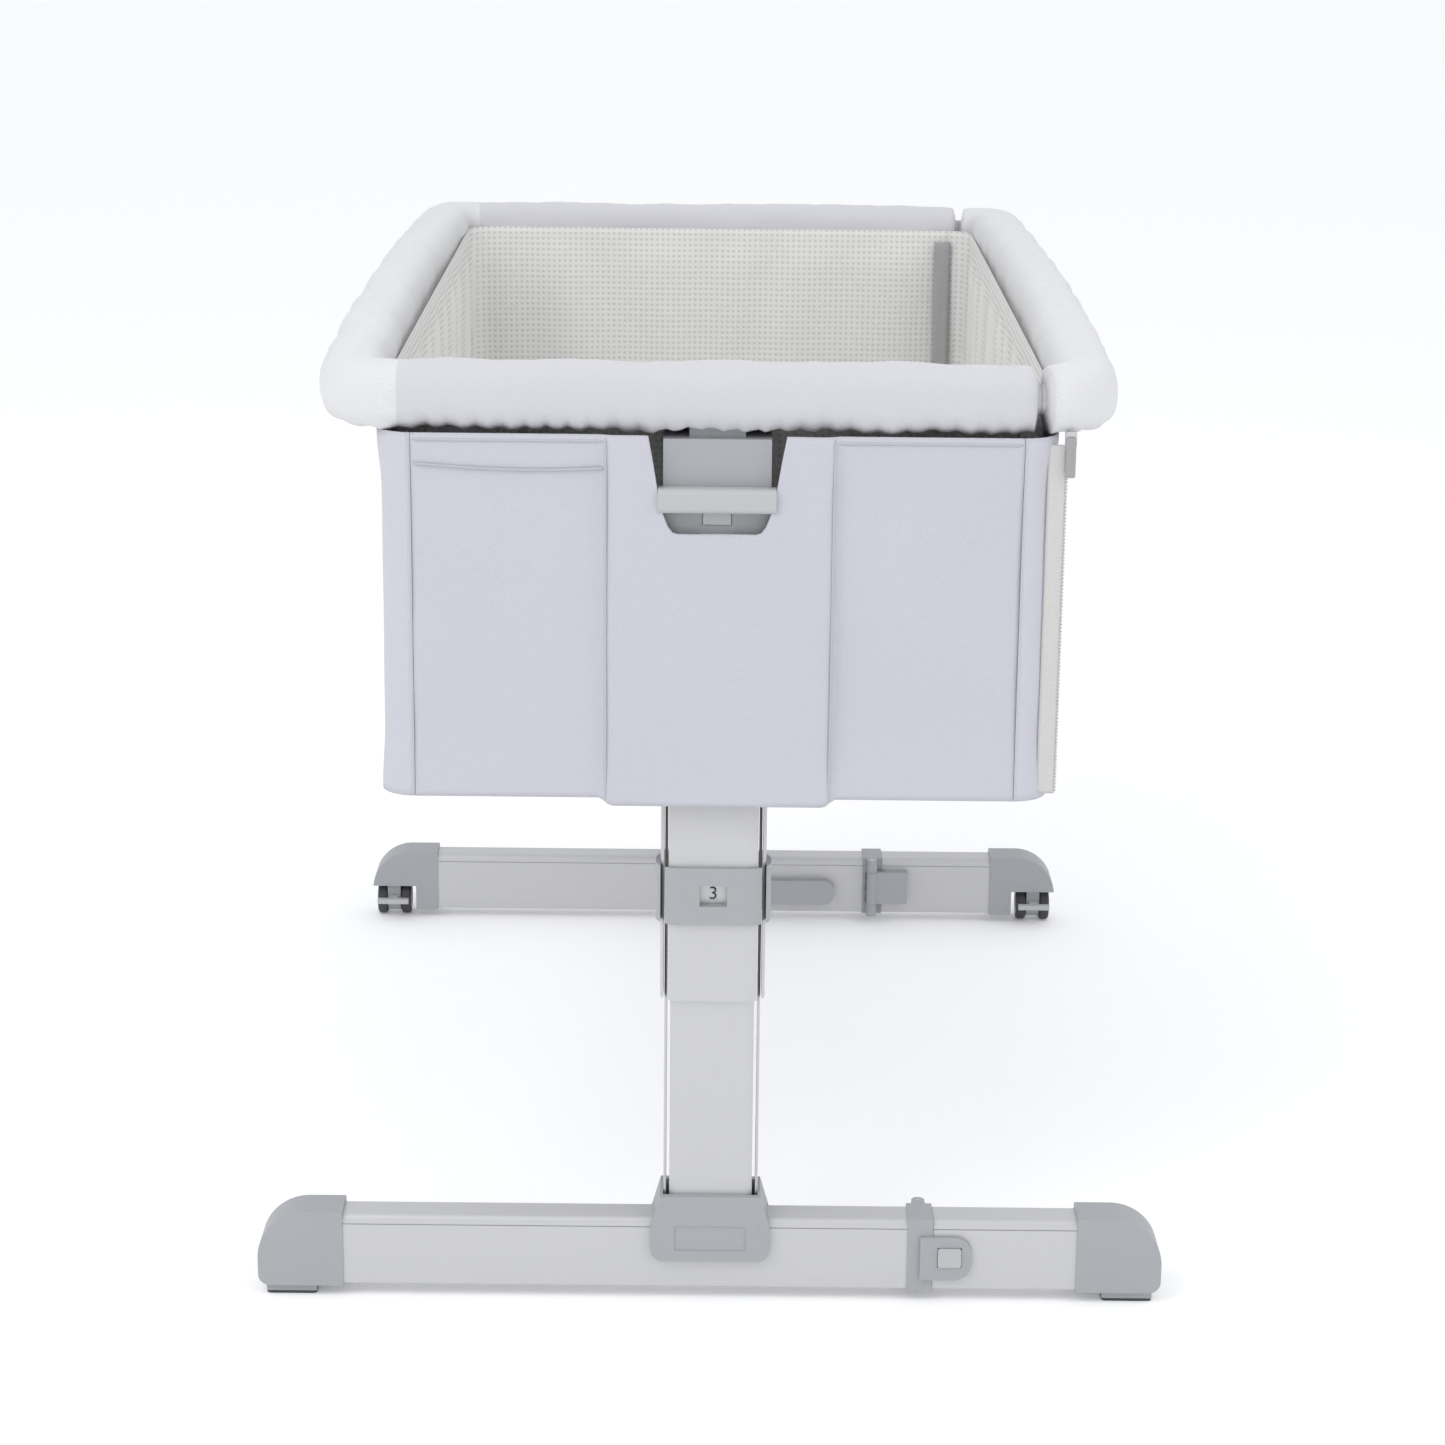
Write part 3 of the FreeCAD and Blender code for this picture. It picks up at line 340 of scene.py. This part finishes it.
def apply_modifier(piece, kind, name, **settings):
    select_only(piece)
    modifier = piece.modifiers.new(name, kind)
    for key, value in settings.items():
        setattr(modifier, key, value)
    bpy.ops.object.modifier_apply(modifier=modifier.name)


def surface(name, material, columns, rows, shape, thick=0.0, closed=False):
    """Grid laid over a surface: shape(u, v) gives the point for u and v from 0 to 1."""
    bpy.ops.object.select_all(action="DESELECT")
    bpy.ops.mesh.primitive_grid_add(x_subdivisions=columns, y_subdivisions=rows, size=1.0)
    piece = name_piece(bpy.context.object, name, material)
    for vertex in piece.data.vertices:
        vertex.co = Vector(shape(vertex.co.x + 0.5, vertex.co.y + 0.5))
    if closed:
        edit(piece, lambda: bpy.ops.mesh.remove_doubles(threshold=0.00002),
             lambda: bpy.ops.mesh.normals_make_consistent(inside=False))
    if thick:
        apply_modifier(piece, "SOLIDIFY", "Thickness", thickness=thick, offset=0.0,
                       use_even_offset=False)
        edit(piece, lambda: bpy.ops.mesh.normals_make_consistent(inside=False))
    select_only(piece)
    bpy.ops.object.shade_smooth()
    return piece


def smooth_step(value, low, high):
    share = min(max((value - low) / (high - low), 0.0), 1.0)
    return share * share * (3 - 2 * share)


def ripple(x, y, z, scale, seed=0.0):
    """Smooth uneven value from -1 to 1 with its own seed."""
    return noise.noise(Vector((x * scale + seed, y * scale - seed, z * scale + 2 * seed)))


def superellipse(angle, width, height, power=2.7):
    cosine, sine = math.cos(angle), math.sin(angle)
    across = math.copysign(abs(cosine) ** (2 / power), cosine) * width / 2
    up = math.copysign(abs(sine) ** (2 / power), sine) * height / 2
    return across, up


def plan_path(half_x, half_y, radius, side, reach_near, reach_far):
    """Function of the distance along a C in plan, giving a point and its outward direction.

    It runs from the near end past one side to the far end. The reaches are the lengths of the
    two end runs. It also returns the whole length.
    """
    run = 2 * (half_y - radius)
    arc = math.pi / 2 * radius
    total = reach_near + arc + run + arc + reach_far

    def at(distance):
        middle_x = side * (half_x - radius)
        if distance < reach_near:
            x = middle_x - side * (reach_near - distance)
            return Vector((x, -half_y, 0)), Vector((0, -1, 0))
        distance -= reach_near
        if distance < arc:
            turn = distance / radius
            way = Vector((side * math.sin(turn), -math.cos(turn), 0))
            return Vector((middle_x, -half_y + radius, 0)) + way * radius, way
        distance -= arc
        if distance < run:
            point = Vector((side * half_x, -half_y + radius + distance, 0))
            return point, Vector((side, 0, 0))
        distance -= run
        if distance < arc:
            turn = distance / radius
            way = Vector((side * math.cos(turn), math.sin(turn), 0))
            return Vector((middle_x, half_y - radius, 0)) + way * radius, way
        distance -= arc
        return Vector((middle_x - side * distance, half_y, 0)), Vector((0, 1, 0))

    return at, total


def cord_line(name, material, points, radius, sides=6):
    """Thin round welt along a list of points."""
    steps = len(points) - 1

    def shape(u, v):
        number = min(int(round(u * steps)), steps)
        before, after = points[max(number - 1, 0)], points[min(number + 1, steps)]
        heading = (Vector(after) - Vector(before)).normalized()
        side = heading.cross(Vector((0.13, 0.21, 0.97)))
        if side.length < 0.1:
            side = heading.cross(Vector((0.9, 0.4, 0.1)))
        side.normalize()
        up = heading.cross(side)
        size = 0.0 if number in (0, steps) else radius
        angle = 2 * math.pi * v
        return Vector(points[number]) + side * math.cos(angle) * size + up * math.sin(angle) * size

    return surface(name, material, steps, sides, shape, closed=True)


# ---- pieces ----------------------------------------------------------------------------------

def hand_over(piece, body, *nodes):
    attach(piece, body)
    if nodes:
        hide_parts(*nodes)
    return piece


def padded_rail(name, material, side, reach):
    """Soft cover round the rail: one side of the cot, with a run along each end."""
    radius = Plan.corner - Plan.rail / 2
    path, total = plan_path(Plan.half_x - Plan.rail / 2, Plan.half_y - Plan.rail / 2, radius,
                            side, reach, reach)
    columns = int(total / 0.005)

    def shape(u, v):
        distance = u * total
        centre, way = path(distance)
        angle = 2 * math.pi * v
        across, up = superellipse(angle, Plan.rail, Plan.rail)
        near_end = min(distance, total - distance)
        fullness = 0.0 if near_end < 1e-6 else 1.0 - 0.10 * (1 - smooth_step(near_end, 0, 0.012))
        if abs(way.x) > 0.99:
            middle = 1 - (centre.y / (Plan.half_y - Plan.corner)) ** 2
            centre = centre + way * 0.007 * middle
        pucker = math.sin(distance * 370 + 3 * ripple(distance, 0, 0, 9)) * 0.0013
        low = smooth_step(-up, 0.002, Plan.rail / 2)
        soft = ripple(distance, across, up, 26, side * 4.0) * 0.0020
        soft += ripple(distance * 2.2, across, up, 44, side * 7.0) * 0.0007
        size = fullness * (1 + (soft + pucker * low) / (Plan.rail / 2))
        return centre + way * across * size + Vector((0, 0, Plan.level + up * size))

    return surface(name, material, columns, 40, shape, closed=True)


def c_wall(name, material, side, half_x, half_y, radius, reach, low, high, thick, fold, start=0.0):
    """Wall of cloth along one side of the cot and round both corners, folded inward only."""
    path, total = plan_path(half_x - thick / 2, half_y - thick / 2, radius - thick / 2, side,
                            reach, reach)

    def shape(u, v):
        distance = u * total
        point, way = path(distance)
        height = low + v * (high - low)
        wave = 0.5 + 0.5 * math.sin(distance * 75 + 4 * ripple(distance, 0, height * 0.4, 7, side))
        slack = wave * 0.6 + 0.4 * (0.5 + 0.5 * ripple(distance, height, 0, 17, side * 3))
        fade = smooth_step(height, low + start, low + start + 0.05)
        fade *= smooth_step(high - height, 0.0, 0.04)
        return point - way * fold * slack * fade + Vector((0, 0, height))

    return surface(name, material, int(total / 0.006), 46, shape, thick=thick)


class BASSINET_OT_rails(bpy.types.Operator):
    """Make the padded rail covers"""
    bl_idname = "bassinet.rails"
    bl_label = "Padded rails"

    def execute(self, context):
        ends = woven("Rail padding", colours().padding)
        # Painted light: the side runs get a lighter copy of the same padding, standing in for lamp
        # light falling on the sides.
        sides = woven("Side rail padding with painted light", colours().side_padding, along=(1, 2))
        centre = Plan.half_x - Plan.corner
        for name, side, reach, body, node in (
                ("padded_fixed_rail", -1, centre + Plan.split, "cot", "fixed_rail_cover"),
                ("padded_right_rail", 1, centre - Plan.split, "drop_side", "right_rail_cover")):
            piece = padded_rail(name, ends, side, reach)
            piece.data.materials.append(sides)
            # Faces on the side runs take the lighter copy, which is painted light. The end runs
            # keep the padding's own colour.
            for face in piece.data.polygons:
                face.material_index = int(abs(face.center.x) > Plan.half_x - Plan.corner)
            hand_over(piece, body, node)
        return {"FINISHED"}


class BASSINET_OT_panels(bpy.types.Operator):
    """Make the outer fabric: two ends with leg pockets and two sides with windows"""
    bl_idname = "bassinet.panels"
    bl_label = "Fabric panels"

    def execute(self, context):
        cloth = woven("Outer cloth", colours().cloth)
        side_cloth = woven("Side cloth", colours().cloth, along=(1, 2))
        window = eyelet("Window mesh", colours().window, along=(1, 2))
        for end, sign in ENDS:
            piece = self.end_panel(end, sign, cloth)
            hand_over(piece, "cot", end + "_end_panel")
        for name, side, body, node in (("left_fabric", -1, "cot", "left_side_panel"),
                                       ("right_fabric", 1, "drop_side", "right_side_panel")):
            piece = c_wall(name, side_cloth, side, Plan.wall_x, Plan.wall_y, Plan.wall_corner,
                           0.0, Plan.floor, Plan.box_high[2], sizes().fabric, sizes().crease)
            piece.data.materials.append(window)
            for face in piece.data.polygons:
                inside = (abs(face.center.y) < WINDOW_REACH
                          and WINDOW_LOW < face.center.z < WINDOW_HIGH)
                face.material_index = int(inside)
            hand_over(piece, body, node)
            edge = side * (Plan.wall_x + SEAM_PROUD)
            corners = [(-WINDOW_REACH, WINDOW_LOW), (WINDOW_REACH, WINDOW_LOW),
                       (WINDOW_REACH, WINDOW_HIGH), (-WINDOW_REACH, WINDOW_HIGH),
                       (-WINDOW_REACH, WINDOW_LOW)]
            points = []
            for (y1, z1), (y2, z2) in zip(corners, corners[1:]):
                for step in range(30):
                    share = step / 30
                    points.append((edge, y1 + (y2 - y1) * share, z1 + (z2 - z1) * share))
            hand_over(cord_line(name + "_window_welt", cloth, points, sizes().welt), body)
        return {"FINISHED"}

    def end_panel(self, end, sign, cloth):
        left, right = Plan.end_low[0], Plan.end_high[0]
        outer = Plan.wall_y - sizes().fabric / 2
        depth = abs(Plan.end_low[1]) - Plan.wall_y

        def shape(u, v):
            x = left + u * (right - left)
            pocket = smooth_step(x, -0.084, -0.074) * (1 - smooth_step(x, 0.078, 0.088))
            mouth = min(max((abs(x) - 0.028) / 0.020, 0.0), 1.0) ** 2.4
            high = MOUTH_LOW + (Plan.end_high[2] - MOUTH_LOW) * mouth
            low = Plan.floor + (Plan.hem - Plan.floor) * pocket
            z = low + v * (high - low)
            fold = 0.5 + 0.5 * ripple(x, 0.5 * z, 0, 16, sign * 2)
            fold *= smooth_step(high - z, 0, 0.05) * smooth_step(z - low, 0, 0.05) * (1 - pocket)
            crease = 0.5 + 0.5 * ripple(x + 0.4 * z, 0.35 * z, 0, 34, sign * 5)
            d = outer + depth * pocket - fold * sizes().crease
            d -= crease * 0.0022 * pocket * smooth_step(z - low, 0, 0.03)
            return x, sign * d, z

        return surface(end + "_fabric", cloth, 124, 60, shape, thick=sizes().fabric)


class BASSINET_OT_bed(bpy.types.Operator):
    """Make the mesh lining and the mattress"""
    bl_idname = "bassinet.bed"
    bl_label = "Lining and mattress"

    def execute(self, context):
        mesh = eyelet("Mesh lining", colours().mesh)
        low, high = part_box("fixed_lining")
        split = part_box("right_lining")[0][0]
        corner = 0.022
        for name, side, reach, body, node in (
                ("mesh_lining", -1, split - low[0] - corner, "cot", "fixed_lining"),
                ("right_mesh_lining", 1, 0.0, "drop_side", "right_lining")):
            reach = reach if side < 0 else max(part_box(node)[1][0] - corner - split, 0.0)
            piece = c_wall(name, mesh, side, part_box(node)[1][0] if side > 0 else -low[0],
                           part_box(node)[1][1], corner, reach, low[2], high[2],
                           sizes().lining, 0.005, start=0.055)
            hand_over(piece, body, node)
        low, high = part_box("mattress")
        half_x, half_y, tall = high[0], high[1], high[2] - low[2]
        bed = woven("Mattress cover", colours().bed, along=(0, 1))

        def shape(u, v):
            angle = 2 * math.pi * v
            x, y = superellipse(angle, 2 * half_x, 2 * half_y, 12)
            if u < 0.2:
                share, z = u / 0.2, low[2]
            elif u < 0.4:
                edge = (u - 0.2) / 0.2
                share = 0.988 + 0.012 * math.sin(math.pi * edge)
                z = low[2] + tall * edge
            else:
                share, z = 0.988 * (1 - (u - 0.4) / 0.6), high[2]
            if share < 0.98 and u > 0.4:
                across, along = x * share, y * share
                quilt = abs(math.sin((across + along) * 42) * math.sin((across - along) * 42))
                z -= 0.0022 * (1 - quilt ** 0.5)
            return x * share, y * share, z

        piece = surface("quilted_mattress", bed, 130, 200, shape, closed=True)
        hand_over(piece, "cot", "mattress")
        return {"FINISHED"}


class BASSINET_OT_trim(bpy.types.Operator):
    """Make seams, zips, tapes, tabs and the height figures"""
    bl_idname = "bassinet.trim"
    bl_label = "Trim"

    def execute(self, context):
        cloth = woven("Seam binding", darker(colours().cloth, 0.88))
        tape = knitted_tape("Zip tape", (0.62, 0.61, 0.60))
        teeth = moulded("Zip teeth", (0.55, 0.55, 0.56))
        dark = knitted_tape("Side tab", (0.09, 0.09, 0.10))
        grey = knitted_tape("Inner tape", (0.40, 0.40, 0.41))
        figures = moulded("Figures", (0.04, 0.04, 0.045))
        for end, sign in ENDS:
            face = sign * (Plan.wall_y + SEAM_PROUD)
            for number, x in enumerate((-0.079, 0.083)):
                line = [(x, sign * (Plan.wall_y + 0.002), 0.402 + 0.2685 * k / 60)
                        for k in range(61)]
                hand_over(cord_line("%s_pocket_seam_%d" % (end, number), cloth, line,
                                    sizes().welt), "cot")
            for number, (start, stop, z) in enumerate(((-0.216, -0.05, 0.667), (0.05, 0.216, 0.667),
                                                       (-0.216, -0.05, 0.650))):
                line = []
                for k in range(61):
                    sag = 0.004 * math.sin(math.pi * k / 60) if number == 2 else 0.0
                    line.append((start + (stop - start) * k / 60, face, z - sag))
                hand_over(cord_line("%s_band_seam_%d" % (end, number), cloth, line,
                                    sizes().welt), "cot")
            # A standing tape at the corner, with teeth on its edge.
            inner = (Plan.wall_x - 0.0085, Plan.wall_y - 0.0085)

            def flap(u, v, inner=inner, outer=ZIP_EDGE, sign=sign):
                z = 0.408 + 0.258 * u
                x = inner[0] + (outer[0] - inner[0]) * v
                y = inner[1] + (outer[1] - inner[1]) * v
                return x, sign * y, z

            piece = surface(end + "_zip_tape", tape, 90, 6, flap, thick=0.0009)
            hand_over(piece, "drop_side")
            steps = int(0.256 / (sizes().tooth / 2))
            line = [(ZIP_EDGE[0] + (0.0009 if k % 2 else -0.0003), sign * ZIP_EDGE[1],
                     0.409 + k * sizes().tooth / 2) for k in range(steps)]
            hand_over(cord_line(end + "_zip_teeth", teeth, line, 0.0008, 4), "drop_side")
            for number in range(1, 7):
                self.figure(end, sign, number, figures)
        for name, side, body in (("left_tab", -1, "cot"), ("right_tab", 1, "drop_side")):
            bpy.ops.object.select_all(action="DESELECT")
            bpy.ops.mesh.primitive_cube_add(size=1, location=(side * (Plan.half_x + 0.0068), 0,
                                                              Plan.level - 0.004))
            tab = name_piece(bpy.context.object, name, dark)
            edit(tab, lambda: bpy.ops.transform.resize(value=(0.0022, 0.020, 0.026)),
                 lambda: bpy.ops.mesh.bevel(offset=0.0008, segments=2))
            settle(tab)
            hand_over(tab, body)

        def hanging(u, v):
            z = 0.50 + 0.19 * u
            return 0.205 + 0.015 * v, 0.4085 - 0.0015 * math.sin(u * 5), z

        piece = surface("inner_tape", grey, 40, 4, hanging, thick=0.0009)
        hand_over(piece, "cot")
        return {"FINISHED"}

    def figure(self, end, sign, number, material):
        """Plain figure on the front of a post."""
        bpy.ops.object.select_all(action="DESELECT")
        bpy.ops.object.text_add()
        text = bpy.context.object
        text.data.body = str(number)
        text.data.size = 0.014
        text.data.align_x = "CENTER"
        text.data.align_y = "CENTER"
        text.data.extrude = 0.00015
        bpy.ops.object.convert(target="MESH")
        piece = name_piece(bpy.context.object, "%s_figure_%d" % (end, number), material)
        turn = Matrix.Rotation(math.pi if sign > 0 else 0, 4, "Z")
        stand = Matrix.Rotation(math.pi / 2, 4, "X")
        level = THIRD_FIGURE_LEVEL + HEIGHT_STEP * (number - 3)
        move = Matrix.Translation((0, sign * FIGURE_OUT, level))
        piece.matrix_world = move @ turn @ stand
        settle(piece)
        hand_over(piece, end + "_leg")


class BASSINET_OT_finishes(bpy.types.Operator):
    """Give every carried-over piece its finish"""
    bl_idname = "bassinet.finishes"
    bl_label = "Finishes"

    def execute(self, context):
        plastic = moulded("Grey plastic", colours().plastic)
        pale = moulded("Pale plastic", colours().pale_plastic)
        table = (
            (("_post",), drawn_metal("Post", colours().tube, 2)),
            (("outer_tube", "top_rail_tube", "right_rail_tube", "lower_frame_tubes"),
             drawn_metal("Painted tube", colours().tube, 2, 0.4, 0.3)),
            (("_bar",), drawn_metal("Foot bar", colours().tube, 0, 0.4, 0.3)),
            (("base_cover", "_cap", "hinge_", "head_housing", "collar", "fork"), plastic),
            (("fold_button", "lever", "brake"), pale),
            (("tyres", "_pad"), rubber("Rubber", colours().tyre)),
            (("hubs",), moulded("Hub plastic", (0.38, 0.38, 0.39))),
            (("zip_slider", "hinge_pin", "latch_pin", "brackets"),
             drawn_metal("Bright steel", (0.62, 0.62, 0.64), 2, 0.3, 0.9)),
            (("zip_pull",), knitted_tape("Pull", (0.36, 0.36, 0.37))),
            (("mattress_board",), moulded("Board", (0.60, 0.58, 0.54), 0.7)),
            (("floor_sheet",), woven("Floor cloth", colours().cloth, along=(0, 1))),
        )
        for node in [item for item in bpy.data.objects if item.type == "MESH"]:
            if node.data.materials and node.data.materials[0] and node.data.materials[0].use_nodes \
                    and node.name.split(".")[0] not in CAD_NAMES:
                continue
            for words, material in table:
                if any(word in node.name for word in words):
                    node.data.materials.clear()
                    node.data.materials.append(material)
        return {"FINISHED"}


class BASSINET_OT_stage(bpy.types.Operator):
    """Set up the camera, the lamps, the floor and the world"""
    bl_idname = "bassinet.stage"
    bl_label = "Stage"

    def execute(self, context):
        scene = context.scene
        scene.view_settings.view_transform = "Standard"
        bpy.ops.object.camera_add(location=(0.001, -2.787, 1.127))
        camera = context.object
        camera.data.lens = 83.37
        camera.data.sensor_width = 36.0
        turn = (Matrix.Rotation(math.radians(-0.11), 4, "Z")
                @ Matrix.Rotation(math.radians(90 - 15.986), 4, "X")
                @ Matrix.Rotation(math.radians(0.6), 4, "Z"))
        camera.rotation_euler = turn.to_euler()
        scene.camera = camera
        for place, size, power in (((-1.6, -1.8, 2.6), 1.8, 26), ((1.8, -1.2, 2.2), 1.8, 12)):
            bpy.ops.object.light_add(type="AREA", location=place)
            lamp = context.object
            lamp.data.size = size
            lamp.data.energy = power
            aim = Vector((0, 0, 0.45)) - Vector(place)
            lamp.rotation_euler = aim.to_track_quat("-Z", "Y").to_euler()
        bpy.ops.mesh.primitive_plane_add(size=40)
        floor = context.object
        paper = Finish("Floor paper", (0.95, 0.95, 0.95), 0.9)
        grain = paper.grain(60, 3.0)
        paper.relief(grain, 0.0002, 0.2)
        paper.set("Emission Color", (1.0, 1.0, 1.0, 1.0))
        paper.set("Emission Strength", 0.12)
        floor.data.materials.append(paper.material)
        world = bpy.data.worlds.new("Studio")
        scene.world = world
        world.use_nodes = True
        tree = world.node_tree
        tree.nodes.clear()
        output = tree.nodes.new("ShaderNodeOutputWorld")
        mix = tree.nodes.new("ShaderNodeMixShader")
        light, seen = (tree.nodes.new("ShaderNodeBackground") for _ in range(2))
        light.inputs["Strength"].default_value = 0.9
        light.inputs["Color"].default_value = (0.97, 0.98, 1.0, 1.0)
        seen.inputs["Color"].default_value = (1.0, 1.0, 1.0, 1.0)
        path = tree.nodes.new("ShaderNodeLightPath")
        tree.links.new(path.outputs["Is Camera Ray"], mix.inputs[0])
        tree.links.new(light.outputs[0], mix.inputs[1])
        tree.links.new(seen.outputs[0], mix.inputs[2])
        tree.links.new(mix.outputs[0], output.inputs[0])
        return {"FINISHED"}


class BASSINET_PT_panel(bpy.types.Panel):
    bl_label = "Bedside bassinet"
    bl_idname = "BASSINET_PT_panel"
    bl_space_type = "VIEW_3D"
    bl_region_type = "UI"
    bl_category = "Bassinet"

    def draw(self, context):
        layout = self.layout
        for group in (context.scene.bassinet_sizes, context.scene.bassinet_colours):
            for name in group.__annotations__:
                layout.prop(group, name)
        for operator in OPERATORS:
            layout.operator(operator.bl_idname)


CAD_NAMES = {item.name for item in bpy.data.objects if item.type == "MESH"}
OPERATORS = (BASSINET_OT_finishes, BASSINET_OT_rails, BASSINET_OT_panels, BASSINET_OT_bed,
             BASSINET_OT_trim, BASSINET_OT_stage)
CLASSES = (BassinetColours, BassinetSizes) + OPERATORS + (BASSINET_PT_panel,)


def register():
    for kind in CLASSES:
        bpy.utils.register_class(kind)
    bpy.types.Scene.bassinet_colours = bpy.props.PointerProperty(type=BassinetColours)
    bpy.types.Scene.bassinet_sizes = bpy.props.PointerProperty(type=BassinetSizes)


def unregister():
    del bpy.types.Scene.bassinet_sizes
    del bpy.types.Scene.bassinet_colours
    for kind in reversed(CLASSES):
        bpy.utils.unregister_class(kind)


def main():
    register()
    bpy.ops.bassinet.finishes()
    bpy.ops.bassinet.rails()
    bpy.ops.bassinet.panels()
    bpy.ops.bassinet.bed()
    bpy.ops.bassinet.trim()
    bpy.ops.bassinet.stage()


if __name__ == "__main__":
    main()
